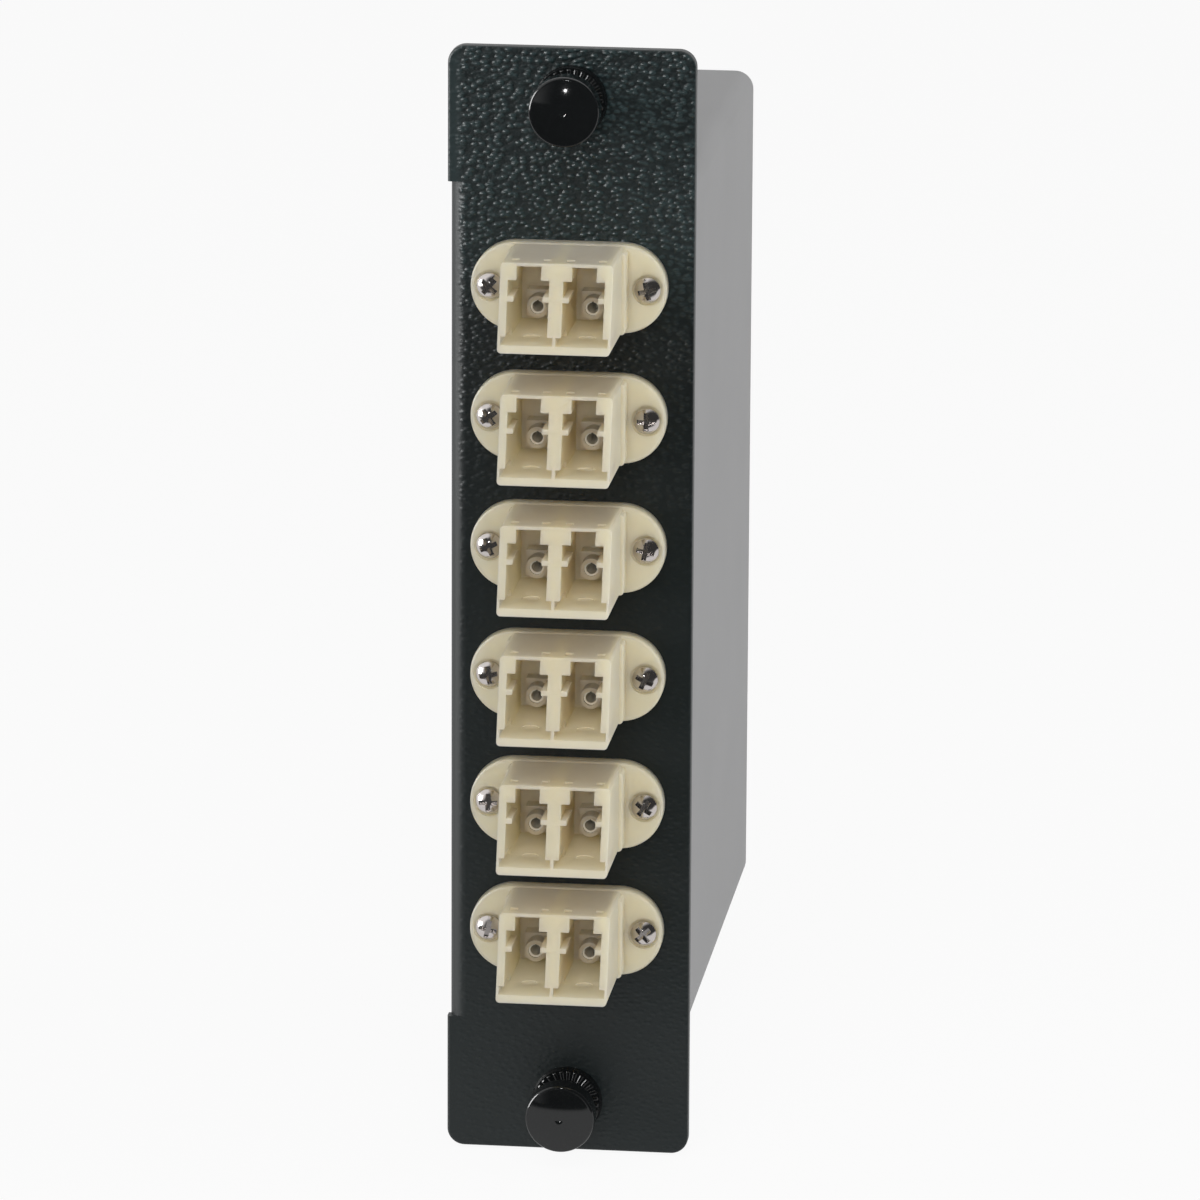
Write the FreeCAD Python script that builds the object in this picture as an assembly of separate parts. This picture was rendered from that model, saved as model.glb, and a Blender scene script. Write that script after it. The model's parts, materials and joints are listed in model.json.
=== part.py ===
"""A rack-panel fibre cassette: six duplex LC adapters on a latch-in front panel, one MPO adapter at the back.

Frame, in millimetres: the origin is the middle of the front panel's rear face, which seats on the rack frame.
+X is to the right seen from the front, +Y runs back into the rack, +Z is up.
"""
import math
import os

import FreeCAD
import Part

V = FreeCAD.Vector

# ---- front panel and case ---------------------------------------------------------------------------------
PANEL_WIDTH = 28.2
PANEL_HEIGHT = 130.0
PANEL_CORNER = 2.0
SHEET = 1.5                  # chassis sheet: front panel, left wall and rear wall
SHEET_BEND = 1.9             # outer bend radius of the chassis
CASE_DEPTH = 65.0            # panel rear face to the outside of the rear wall
CASE_HEIGHT = 101.2          # over the cover's two flanges
WALL_SETBACK = 0.25          # left wall, behind the ears' outer edge
COVER_SHEET = 1.2
COVER_BEND = 2.2             # outer bend radius of the cover
COVER_SETBACK = 0.2          # cover's side wall, behind the panel's right edge
SHEET_GAP = 0.05             # between sheets that lie on each other
EDGE_BREAK = 0.35            # rounding of the panel's front edges

# ---- cover fixings ----------------------------------------------------------------------------------------
TAB_REACH = 8.8
TAB_LENGTH = 12.0
TAB_RELIEF = 1.0
TAB_FROM_FRONT = 14.0
TAB_FROM_REAR = 14.0
COVER_SCREW_SHANK = 2.0
COVER_SCREW_HEAD = 3.8
COVER_SCREW_LENGTH = 4.0
SCREW_CLEARANCE = 0.1        # round a shank, on the radius

# ---- duplex adapters --------------------------------------------------------------------------------------
ADAPTER_COUNT = 6
ADAPTER_PITCH = 15.15
FLANGE_WIDTH = 22.4
FLANGE_HEIGHT = 10.2
FLANGE_THICK = 2.0
FLANGE_ROUND = 0.3
SCREW_FROM_BODY = 2.65       # screw axis, past the body's side: 18 mm between the two
BODY_WIDTH = 12.7
BODY_TOP = 4.95              # above the flange's centre line
BODY_BOTTOM = 4.75           # below it
MOUTH_TOP_REACH = 12.6       # panel front face to the mouth's upper edge
MOUTH_BOTTOM_REACH = 15.8    # panel front face to the mouth's lower lip
BODY_ROUND = 0.45
COLLAR_GROWTH = 0.4          # the collar at the flange is this much wider each side
COLLAR_LENGTH = 2.4
CUTOUT_CLEARANCE = 0.15
WELD_PLANE = 0.8             # where the adapter's two halves meet, behind the panel
REAR_REACH = 13.5            # rear half, behind the panel
REAR_HEIGHT = 9.4

# ---- ports, measured from the port's axis -----------------------------------------------------------------
PORT_PITCH = 6.25
PORT_AXIS_DROP = 1.6         # ferrule axis below the flange's centre line
PORT_WIDTH = 4.7
FLOOR = 0.85                 # wall under the port
PLUG_SPACE = 4.7             # height of the space for the plug's square body
NECK_WIDTH = 3.3
NECK_HEIGHT = 0.55
LATCH_SPACE = 1.75
LATCH_SLOT_WIDTH = 2.8
ROOF = 0.35                  # wall over the latch slot
GROOVE_WIDTH = 5.9
GROOVE_HEIGHT = 0.95
GROOVE_DEPTH = 6.0
SHOULDER_DEPTH = 3.6         # latch shoulders, behind the mouth's upper edge
MARK_WIDTH = 0.9             # four shallow marks on the roof, over the shoulders
MARK_LENGTH = 1.1
MARK_DEPTH = 0.2
MARK_SETBACK = 1.3           # behind the mouth's upper edge
MARK_SPREAD = 3.6            # between the two marks of a port
EJECTOR_DIAMETER = 2.0       # round ejector mark on a port's floor
EJECTOR_DEPTH = 0.12
EJECTOR_SETBACK = 5.5        # its middle, behind the mouth's lower lip
BACK_WALL = 2.3              # front port's end, ahead of the panel's rear face
REAR_PORT_START = 2.2        # rear port's end, behind the panel's rear face
BARREL_OUTER = 2.5
BARREL_BORE = 1.95
BARREL_LIP_BORE = 1.65
BARREL_LIP = 0.35
BARREL_REACH = 4.5           # barrel, out from the port's end wall
BARREL_FOOT = 3.0            # square foot round the barrel
BARREL_FOOT_REACH = 2.2
SLEEVE_OUTER = 1.85
SLEEVE_BORE = 1.26
SLEEVE_SLIT = 0.2
SLEEVE_END_GAP = 0.1

# ---- adapter screws and nuts ------------------------------------------------------------------------------
SCREW_SHANK = 1.9
SCREW_HEAD = 3.0
SCREW_HEAD_HEIGHT = 1.15
SCREW_CROSS_WIDTH = 0.55
SCREW_CROSS_REACH = 1.05
SCREW_CROSS_DEPTH = 0.75
COUNTERBORE = 3.6
COUNTERBORE_DEPTH = 0.3
NUT_FLATS = 4.0
NUT_THICK = 1.6
SCREW_PAST_NUT = 0.8

# ---- push-pull latches ------------------------------------------------------------------------------------
LATCH_SPACING = 118.0
GROMMET_FLANGE = 8.2
GROMMET_FLANGE_THICK = 0.8
GROMMET_BARREL = 4.9         # through the panel
GROMMET_LEGS = 4.5           # behind it
GROMMET_HOLE_CLEARANCE = 0.1
GROMMET_LENGTH = 8.0         # legs, behind the panel
GROMMET_END_TAPER = 0.6
GROMMET_SLOT = 0.8
GROMMET_SLOT_START = 1.2     # behind the panel
GROMMET_BORE = 3.0
PLUNGER_CLEARANCE = 0.08
KNOB_DIAMETER = 8.0
KNOB_EDGE = 2.3              # straight edge of the knob
KNOB_CROWN = 0.9             # dome over the edge
LATCH_TRAVEL = 4.0
PLUNGER_TIP_DIAMETER = 2.2
PLUNGER_TIP_TAPER = 1.2
PLUNGER_END_SETBACK = 0.5    # plunger's end, inside the legs' ends when it is pulled out

# ---- rear MPO adapter -------------------------------------------------------------------------------------
MPO_HEIGHT_ON_WALL = -20.0
MPO_FLANGE_THICK = 1.5
MPO_BODY_WIDTH = 13.7
MPO_BODY_HEIGHT = 9.6
MPO_SCREW_FROM_BODY = 2.15
MPO_FLANGE_END = 2.2         # flange, past the screw axis
MPO_BODY_REACH = 11.0        # behind the rear wall
MPO_INNER_REACH = 8.0        # inside the case
MPO_PORT_WIDTH = 12.5
MPO_PORT_HEIGHT = 7.7
MPO_PORT_ROUND = 1.0
MPO_KEYWAY_WIDTH = 3.2
MPO_KEYWAY_HEIGHT = 0.6
MPO_WEB = 1.6
MPO_FERRULE_WIDTH = 6.5
MPO_FERRULE_HEIGHT = 2.6

# ---- fibres inside the case -------------------------------------------------------------------------------
PLUG_SIDE = 4.5
PLUG_LENGTH = 12.4
PLUG_SETBACK = 0.3           # plug's face to the barrel's tip
PLUG_ROUND = 0.5
FERRULE_DIAMETER = 1.24
FERRULE_PAST_FACE = 5.2
BOOT_LENGTH = 12.0
BOOT_ROOT = 3.6
BOOT_TIP = 1.9
LEAD_DIAMETER = 0.9
LEAD_BEND = 4.5
LANE_PITCH = 1.05
LANE_START = 0.6             # first lane's straight run out of its boot
FANOUT_WIDTH = 9.0
FANOUT_HEIGHT = 4.6
FANOUT_MARGIN = 1.6          # block, past its outer lanes
RIBBON_WIDTH = 3.1
RIBBON_THICK = 0.7
RIBBON_BEND = 5.0
RIBBON_GAP = 1.6             # ribbon, behind the last lane
MPO_PLUG_WIDTH = 12.2
MPO_PLUG_HEIGHT = 7.3
MPO_BOOT_WIDTH = 7.0
MPO_BOOT_HEIGHT = 4.0
MPO_BOOT_LENGTH = 3.0

# ---- worked out from the above ----------------------------------------------------------------------------
PANEL_FRONT = -SHEET
FLANGE_FRONT = PANEL_FRONT - FLANGE_THICK
LEFT_WALL = -PANEL_WIDTH / 2 + WALL_SETBACK
RIGHT_WALL = PANEL_WIDTH / 2 - COVER_SETBACK
WALL_TOP = CASE_HEIGHT / 2 - COVER_SHEET - SHEET_GAP
REAR_WALL_INSIDE = CASE_DEPTH - SHEET
PORT_AXIS = -PORT_AXIS_DROP
PORT_FLOOR = -BODY_BOTTOM + FLOOR
PLUG_SPACE_TOP = PORT_FLOOR + PLUG_SPACE
NECK_TOP = PLUG_SPACE_TOP + NECK_HEIGHT
LATCH_SPACE_TOP = NECK_TOP + LATCH_SPACE
SLOT_TOP = BODY_TOP - ROOF
REAR_TOP = REAR_HEIGHT / 2
FRONT_BARREL_TIP = -BACK_WALL - BARREL_REACH
REAR_BARREL_TIP = REAR_PORT_START + BARREL_REACH
PLUG_FACE = REAR_BARREL_TIP + PLUG_SETBACK
BOOT_START = PLUG_FACE + PLUG_LENGTH
BOOT_END = BOOT_START + BOOT_LENGTH
FIRST_LANE = BOOT_END + LANE_START + LEAD_BEND
LAST_LANE = FIRST_LANE + (ADAPTER_COUNT - 1) * LANE_PITCH
RIBBON_LINE = LAST_LANE + RIBBON_GAP
CASE_FLOOR = -CASE_HEIGHT / 2 + COVER_SHEET
FANOUT_TOP = CASE_FLOOR + FANOUT_HEIGHT
COLLAR_FRONT = FLANGE_FRONT - COLLAR_LENGTH
KNOB_BACK = PANEL_FRONT - GROMMET_FLANGE_THICK - LATCH_TRAVEL
MPO_FLANGE_BACK = CASE_DEPTH + MPO_FLANGE_THICK


def box(x0, x1, y0, y1, z0, z1):
    """A block between two limits on each axis."""
    return Part.makeBox(x1 - x0, y1 - y0, z1 - z0, V(x0, y0, z0))


def rod(diameter, y0, y1, x=0.0, z=0.0):
    """A cylinder along Y."""
    return Part.makeCylinder(diameter / 2, y1 - y0, V(x, y0, z), V(0, 1, 0))


def cone(d0, d1, y0, y1, x=0.0, z=0.0):
    """A cone along Y, from diameter d0 at y0 to d1 at y1."""
    return Part.makeCone(d0 / 2, d1 / 2, y1 - y0, V(x, y0, z), V(0, 1, 0))


def prism(points, direction):
    """Extrudes the closed outline through these points."""
    return Part.Face(Part.makePolygon(points + points[:1])).extrude(direction)


def turned(points, x, z):
    """Revolves an outline of (radius, y) points about the Y axis through x, z."""
    wire = Part.makePolygon([V(r, y, 0) for r, y in points + points[:1]])
    solid = Part.Face(wire).revolve(V(0, 0, 0), V(0, 1, 0), 360)
    solid.translate(V(x, 0, z))
    return solid


def edges_along(shape, direction, test=lambda edge: True):
    """Straight edges parallel to a direction, for a fillet."""
    found = []
    for edge in shape.Edges:
        if not isinstance(edge.Curve, Part.Line):
            continue
        if abs(edge.tangentAt(edge.FirstParameter).dot(direction)) > 0.999 and test(edge):
            found.append(edge)
    return found


def rounded_block(x0, x1, y0, y1, z0, z1, radius):
    """A block whose four edges along Y are rounded."""
    block = box(x0, x1, y0, y1, z0, z1)
    return block.makeFillet(radius, edges_along(block, V(0, 1, 0)))


def arc_corner(centre, radius, start, axes):
    """A quarter arc in the plane of two axes, from the angle start in degrees."""
    u, w = axes

    def at(angle):
        a = math.radians(angle)
        return centre + u * (radius * math.cos(a)) + w * (radius * math.sin(a))

    return Part.Arc(at(start), at(start + 45), at(start + 90)).toShape()


def adapter_heights():
    """Centre lines of the adapters, from the top one down."""
    top = ADAPTER_PITCH * (ADAPTER_COUNT - 1) / 2
    return [top - i * ADAPTER_PITCH for i in range(ADAPTER_COUNT)]


def port_sides():
    """The two ports of an adapter, left one first."""
    return [-PORT_PITCH / 2, PORT_PITCH / 2]


def flange_screw_sides():
    """Axes of an adapter's two screws, left one first."""
    side = BODY_WIDTH / 2 + SCREW_FROM_BODY
    return [-side, side]


def mpo_screw_sides():
    side = MPO_BODY_WIDTH / 2 + MPO_SCREW_FROM_BODY
    return [-side, side]


def tab_middles():
    """Where the cover's fixing tabs stand along the case."""
    return [TAB_FROM_FRONT, CASE_DEPTH - TAB_FROM_REAR]


def cover_screw_x():
    return LEFT_WALL + TAB_REACH * 0.6


# ---- case -------------------------------------------------------------------------------------------------
def folded_strip():
    """Front panel's middle, left wall and rear wall as one folded strip, seen from above."""
    inner = SHEET_BEND - SHEET
    left, right = LEFT_WALL, PANEL_WIDTH / 2
    rear_end = RIGHT_WALL - COVER_SHEET - SHEET_GAP
    x_in, y_front, y_rear = left + SHEET_BEND, PANEL_FRONT + SHEET_BEND, CASE_DEPTH - SHEET_BEND
    axes = (V(1, 0, 0), V(0, 1, 0))
    front_centre, rear_centre = V(x_in, y_front, 0), V(x_in, y_rear, 0)

    def line(x0, y0, x1, y1):
        return Part.makeLine(V(x0, y0, 0), V(x1, y1, 0))

    wire = Part.Wire([
        line(right, PANEL_FRONT, x_in, PANEL_FRONT),
        arc_corner(front_centre, SHEET_BEND, 180, axes),
        line(left, y_front, left, y_rear),
        arc_corner(rear_centre, SHEET_BEND, 90, axes),
        line(x_in, CASE_DEPTH, rear_end, CASE_DEPTH),
        line(rear_end, CASE_DEPTH, rear_end, REAR_WALL_INSIDE),
        line(rear_end, REAR_WALL_INSIDE, x_in, REAR_WALL_INSIDE),
        arc_corner(rear_centre, inner, 90, axes),
        line(left + SHEET, y_rear, left + SHEET, y_front),
        arc_corner(front_centre, inner, 180, axes),
        line(x_in, 0, right, 0),
        line(right, 0, right, PANEL_FRONT),
    ])
    strip = Part.Face(Part.Wire(Part.__sortEdges__(wire.Edges))).extrude(V(0, 0, 2 * WALL_TOP))
    strip.translate(V(0, 0, -WALL_TOP))
    beside_bend = edges_along(strip, V(0, 1, 0), lambda e: e.CenterOfMass.x > rear_end - 0.01
                              and e.CenterOfMass.y > REAR_WALL_INSIDE)
    return strip.makeFillet(COVER_BEND - COVER_SHEET, beside_bend)


def panel_ears():
    """The flat front plate with its four rounded corners, less the strip's bend."""
    half_w, half_h = PANEL_WIDTH / 2, PANEL_HEIGHT / 2
    plate = rounded_block(-half_w, half_w, PANEL_FRONT, 0, -half_h, half_h, PANEL_CORNER)
    bend = box(-half_w - 1, LEFT_WALL + SHEET_BEND, PANEL_FRONT - 1, 1, -WALL_TOP, WALL_TOP)
    return plate.cut(bend)


def fixing_tab(y_middle, up):
    """A tab folded in from the left wall's edge, under the cover's flange."""
    inner = SHEET_BEND - SHEET
    top, left = WALL_TOP, LEFT_WALL
    centre = V(left + SHEET_BEND, 0, top - SHEET_BEND)
    axes = (V(1, 0, 0), V(0, 0, 1))
    root = centre.z
    wire = Part.Wire(Part.__sortEdges__([
        arc_corner(centre, SHEET_BEND, 90, axes),
        Part.makeLine(V(centre.x, 0, top), V(left + TAB_REACH, 0, top)),
        Part.makeLine(V(left + TAB_REACH, 0, top), V(left + TAB_REACH, 0, top - SHEET)),
        Part.makeLine(V(left + TAB_REACH, 0, top - SHEET), V(centre.x, 0, top - SHEET)),
        arc_corner(centre, inner, 90, axes),
        Part.makeLine(V(left + SHEET, 0, root), V(left, 0, root)),
    ]))
    tab = Part.Face(wire).extrude(V(0, TAB_LENGTH, 0))
    tab.translate(V(0, y_middle - TAB_LENGTH / 2, 0))
    foot = V(cover_screw_x(), y_middle, top - 2 * SHEET)
    hole = Part.makeCylinder(COVER_SCREW_SHANK / 2 + SHEET_GAP, SHEET * 3, foot)
    tab = tab.cut(hole)
    return tab if up else tab.mirror(V(0, 0, 0), V(0, 0, 1))


def tab_relief(y_middle, up):
    """The wall is cut away where a tab is folded, and a little each side of it."""
    reach = TAB_LENGTH / 2 + TAB_RELIEF
    cut = box(LEFT_WALL - 1, LEFT_WALL + SHEET + 0.01, y_middle - reach, y_middle + reach,
              WALL_TOP - SHEET_BEND, WALL_TOP + 1)
    return cut if up else cut.mirror(V(0, 0, 0), V(0, 0, 1))


def adapter_cutout(z):
    """The panel's opening for one adapter, with its two screw holes."""
    c = CUTOUT_CLEARANCE
    opening = rounded_block(-BODY_WIDTH / 2 - c, BODY_WIDTH / 2 + c, PANEL_FRONT - 1, 1,
                            z - BODY_BOTTOM - c, z + BODY_TOP + c, BODY_ROUND + c)
    tools = [opening]
    for x in flange_screw_sides():
        tools.append(rod(SCREW_SHANK + 2 * SCREW_CLEARANCE, PANEL_FRONT - 1, 1, x, z))
    return tools


def rear_cutout():
    """The rear wall's opening for the MPO adapter, with its two screw holes."""
    c = CUTOUT_CLEARANCE
    y0, y1, z = REAR_WALL_INSIDE - 1, CASE_DEPTH + 1, MPO_HEIGHT_ON_WALL
    half_w, half_h = MPO_BODY_WIDTH / 2 + c, MPO_BODY_HEIGHT / 2 + c
    tools = [box(-half_w, half_w, y0, y1, z - half_h, z + half_h)]
    for x in mpo_screw_sides():
        tools.append(rod(SCREW_SHANK + 2 * SCREW_CLEARANCE, y0, y1, x, z))
    return tools


def chassis():
    """Front panel, left wall and rear wall, folded from one sheet."""
    shape = folded_strip().fuse(panel_ears())
    shape = shape.removeSplitter()
    front_rim = [e for e in shape.Edges if abs(e.BoundBox.YMin - PANEL_FRONT) < 1e-6
                 and abs(e.BoundBox.YMax - PANEL_FRONT) < 1e-6
                 and (abs(e.CenterOfMass.z) > WALL_TOP + 0.1 or e.CenterOfMass.x > PANEL_WIDTH / 2 - 0.01)]
    shape = shape.makeFillet(EDGE_BREAK, front_rim)
    tools = []
    for up in (True, False):
        tools += [tab_relief(y, up) for y in tab_middles()]
    for z in adapter_heights():
        tools += adapter_cutout(z)
    for z in (LATCH_SPACING / 2, -LATCH_SPACING / 2):
        tools.append(rod(GROMMET_BARREL + 2 * GROMMET_HOLE_CLEARANCE, PANEL_FRONT - 1, 1, 0, z))
    tools += rear_cutout()
    shape = shape.cut(tools)
    tabs = [fixing_tab(y, up) for up in (True, False) for y in tab_middles()]
    return shape.fuse(tabs).removeSplitter()


def cover_screw_sites():
    return [(cover_screw_x(), y, up) for y in tab_middles() for up in (True, False)]


def cover():
    """Side wall with a flange over the top and another under the bottom, folded from one sheet."""
    inner = COVER_BEND - COVER_SHEET
    half = CASE_HEIGHT / 2
    right, left = RIGHT_WALL, LEFT_WALL
    x_in, z_in = right - COVER_BEND, half - COVER_BEND
    axes = (V(1, 0, 0), V(0, 0, 1))
    top_centre, low_centre = V(x_in, 0, z_in), V(x_in, 0, -z_in)

    def line(x0, z0, x1, z1):
        return Part.makeLine(V(x0, 0, z0), V(x1, 0, z1))

    t = COVER_SHEET
    wire = Part.Wire(Part.__sortEdges__([
        line(left, half, x_in, half),
        arc_corner(top_centre, COVER_BEND, 0, axes),
        line(right, z_in, right, -z_in),
        arc_corner(low_centre, COVER_BEND, 270, axes),
        line(x_in, -half, left, -half),
        line(left, -half, left, -half + t),
        line(left, -half + t, x_in, -half + t),
        arc_corner(low_centre, inner, 270, axes),
        line(right - t, -z_in, right - t, z_in),
        arc_corner(top_centre, inner, 0, axes),
        line(x_in, half - t, left, half - t),
        line(left, half - t, left, half),
    ]))
    shape = Part.Face(wire).extrude(V(0, CASE_DEPTH, 0))
    sinks = []
    for x, y, up in cover_screw_sites():
        sign = 1 if up else -1
        head, shank = COVER_SCREW_HEAD / 2 + SHEET_GAP, COVER_SCREW_SHANK / 2 + SCREW_CLEARANCE
        sink = Part.makeCone(head, shank, t, V(x, y, sign * half), V(0, 0, -sign))
        sinks.append(sink)
    return shape.cut(sinks)


def cover_screws():
    """Flat-head screws through the cover's flanges into the chassis tabs."""
    screws = []
    for x, y, up in cover_screw_sites():
        sign = 1 if up else -1
        top = V(x, y, sign * CASE_HEIGHT / 2)
        down = V(0, 0, -sign)
        head = Part.makeCone(COVER_SCREW_HEAD / 2, COVER_SCREW_SHANK / 2, COVER_SHEET, top, down)
        shank = Part.makeCylinder(COVER_SCREW_SHANK / 2, COVER_SCREW_LENGTH, top, down)
        screw = head.fuse(shank).removeSplitter()
        half, arm = SCREW_CROSS_WIDTH / 2, SCREW_CROSS_REACH
        depth = SCREW_CROSS_DEPTH
        z0, z1 = sorted((top.z + sign, top.z - sign * depth))
        cross = [box(x - arm, x + arm, y - half, y + half, z0, z1),
                 box(x - half, x + half, y - arm, y + arm, z0, z1)]
        screws.append(screw.cut(cross))
    return Part.makeCompound(screws)


# ---- duplex adapter ---------------------------------------------------------------------------------------
def oblong(width, height, y0, y1, z):
    """A plate with full-round ends."""
    half, r = width / 2 - height / 2, height / 2
    wire = Part.Wire([
        Part.makeLine(V(-half, y0, z + r), V(half, y0, z + r)),
        Part.Arc(V(half, y0, z + r), V(half + r, y0, z), V(half, y0, z - r)).toShape(),
        Part.makeLine(V(half, y0, z - r), V(-half, y0, z - r)),
        Part.Arc(V(-half, y0, z - r), V(-half - r, y0, z), V(-half, y0, z + r)).toShape(),
    ])
    return Part.Face(wire).extrude(V(0, y1 - y0, 0))


def front_shell(z):
    """The front half before its ports are cut: body with a raked mouth, collar and flange."""
    half = BODY_WIDTH / 2
    top, bottom = z + BODY_TOP, z - BODY_BOTTOM
    raked = [V(-half, WELD_PLANE, top), V(-half, PANEL_FRONT - MOUTH_TOP_REACH, top),
             V(-half, PANEL_FRONT - MOUTH_BOTTOM_REACH, bottom), V(-half, WELD_PLANE, bottom)]
    body = prism(raked, V(BODY_WIDTH, 0, 0))
    body = body.makeFillet(BODY_ROUND, edges_along(body, V(0, 1, 0)))
    g = COLLAR_GROWTH
    collar = rounded_block(-half - g, half + g, COLLAR_FRONT, FLANGE_FRONT + FLANGE_THICK / 2,
                           bottom, top - FLANGE_ROUND, BODY_ROUND)
    flange = oblong(FLANGE_WIDTH, FLANGE_HEIGHT, FLANGE_FRONT, PANEL_FRONT, z)
    rim = [e for e in flange.Edges if e.BoundBox.YMax < FLANGE_FRONT + 1e-6]
    flange = flange.makeFillet(FLANGE_ROUND, rim)
    return flange.fuse([body, collar]).removeSplitter()


def mouth_section(x, z):
    """Outline of a port's mouth: plug space, neck, latch space and latch slot, one above another."""
    half, neck, slot, groove = PORT_WIDTH / 2, NECK_WIDTH / 2, LATCH_SLOT_WIDTH / 2, GROOVE_WIDTH / 2
    levels = [(groove, PORT_FLOOR), (groove, PORT_FLOOR + GROOVE_HEIGHT), (half, PORT_FLOOR + GROOVE_HEIGHT),
              (half, PLUG_SPACE_TOP), (neck, PLUG_SPACE_TOP), (neck, NECK_TOP), (half, NECK_TOP),
              (half, LATCH_SPACE_TOP), (slot, LATCH_SPACE_TOP), (slot, SLOT_TOP)]
    right = [(w, h) for w, h in levels]
    left = [(-w, h) for w, h in reversed(levels)]
    return [V(x + w, 0, z + h) for w, h in right + left]


def front_port(x, z):
    """What is cut from the front half for one port, apart from its barrel."""
    mouth_top = PANEL_FRONT - MOUTH_TOP_REACH
    shoulder = mouth_top + SHOULDER_DEPTH
    out = PANEL_FRONT - MOUTH_BOTTOM_REACH - 1
    mouth = prism(mouth_section(x, z), V(0, shoulder - out, 0))
    mouth.translate(V(0, out, 0))
    half = PORT_WIDTH / 2
    hollow = box(x - half, x + half, shoulder, -BACK_WALL, z + PORT_FLOOR, z + SLOT_TOP)
    groove_end = PANEL_FRONT - MOUTH_BOTTOM_REACH + GROOVE_DEPTH
    groove_back = box(x - GROOVE_WIDTH / 2, x + GROOVE_WIDTH / 2, groove_end, shoulder + 0.01,
                      z + PORT_FLOOR, z + PORT_FLOOR + GROOVE_HEIGHT)
    keep = groove_back.cut(box(x - half, x + half, groove_end, shoulder + 0.01,
                               z + PORT_FLOOR, z + PORT_FLOOR + GROOVE_HEIGHT))
    tools = [mouth.cut(keep), hollow]
    mark = mouth_top + MARK_SETBACK
    for middle in (x - MARK_SPREAD / 2, x + MARK_SPREAD / 2):
        tools.append(box(middle - MARK_WIDTH / 2, middle + MARK_WIDTH / 2, mark, mark + MARK_LENGTH,
                         z + BODY_TOP - MARK_DEPTH, z + BODY_TOP + 1))
    ejector = V(x, PANEL_FRONT - MOUTH_BOTTOM_REACH + EJECTOR_SETBACK, z + PORT_FLOOR - EJECTOR_DEPTH)
    tools.append(Part.makeCylinder(EJECTOR_DIAMETER / 2, EJECTOR_DEPTH + 0.1, ejector))
    return tools


def barrel(x, z, wall, tip):
    """The tube that holds the alignment sleeve, from the port's end wall to its tip."""
    y0, y1 = sorted((wall, tip))
    return rod(BARREL_OUTER, y0, y1, x, z + PORT_AXIS)


def barrel_foot(x, z):
    """Square foot at the root of a front barrel."""
    half, axis = BARREL_FOOT / 2, z + PORT_AXIS
    return box(x - half, x + half, -BACK_WALL - BARREL_FOOT_REACH, -BACK_WALL + 0.2, axis - half, axis + half)


def sleeve_bore(x, z, tip, meet):
    """Bore for the sleeve from the weld plane, with a narrower lip at the barrel's tip."""
    inward = 1 if meet > tip else -1
    lip_end = tip + inward * BARREL_LIP
    y0, y1 = sorted((lip_end, meet))
    bore = rod(BARREL_BORE, y0, y1, x, z + PORT_AXIS)
    y0, y1 = sorted((tip - inward, lip_end))
    return bore.fuse(rod(BARREL_LIP_BORE, y0, y1, x, z + PORT_AXIS))


def flange_screw_holes(z):
    holes = []
    for x in flange_screw_sides():
        holes.append(rod(SCREW_SHANK + 2 * SCREW_CLEARANCE, FLANGE_FRONT - 1, PANEL_FRONT + 1, x, z))
        holes.append(rod(COUNTERBORE, FLANGE_FRONT - 1, FLANGE_FRONT + COUNTERBORE_DEPTH, x, z))
    return holes


def adapter_front(z):
    """Front half of a duplex adapter, with the flange."""
    shape = front_shell(z)
    tools = flange_screw_holes(z)
    for x in port_sides():
        tools += front_port(x, z)
    shape = shape.cut(tools)
    shape = shape.fuse([barrel(x, z, -BACK_WALL + 0.2, FRONT_BARREL_TIP) for x in port_sides()]
                       + [barrel_foot(x, z) for x in port_sides()])
    shape = shape.cut([sleeve_bore(x, z, FRONT_BARREL_TIP, WELD_PLANE + 1) for x in port_sides()])
    return shape.removeSplitter()


def adapter_rear(z):
    """Rear half of a duplex adapter, welded to the front half behind the panel."""
    half = BODY_WIDTH / 2
    shape = rounded_block(-half, half, WELD_PLANE, REAR_REACH, z - REAR_TOP, z + REAR_TOP, BODY_ROUND)
    tools = []
    for x in port_sides():
        w, slot = PORT_WIDTH / 2, LATCH_SLOT_WIDTH / 2
        tools.append(box(x - w, x + w, REAR_PORT_START, REAR_REACH + 1, z + PORT_FLOOR, z + LATCH_SPACE_TOP))
        tools.append(box(x - slot, x + slot, REAR_PORT_START, REAR_REACH + 1, z, z + REAR_TOP - ROOF))
    shape = shape.cut(tools)
    shape = shape.fuse([barrel(x, z, REAR_PORT_START - 0.2, REAR_BARREL_TIP) for x in port_sides()])
    shape = shape.cut([sleeve_bore(x, z, REAR_BARREL_TIP, WELD_PLANE - 1) for x in port_sides()])
    return shape.removeSplitter()


def sleeve_pair(z):
    """The two split sleeves that line up the ferrules of one adapter."""
    start = FRONT_BARREL_TIP + BARREL_LIP + SLEEVE_END_GAP
    end = REAR_BARREL_TIP - BARREL_LIP - SLEEVE_END_GAP
    axis, half_slit = z + PORT_AXIS, SLEEVE_SLIT / 2
    sleeves = []
    for x in port_sides():
        tube = rod(SLEEVE_OUTER, start, end, x, axis).cut(rod(SLEEVE_BORE, start, end, x, axis))
        slit = box(x - half_slit, x + half_slit, start, end, axis, axis + SLEEVE_OUTER)
        sleeves.append(tube.cut(slit))
    return Part.makeCompound(sleeves)


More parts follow.
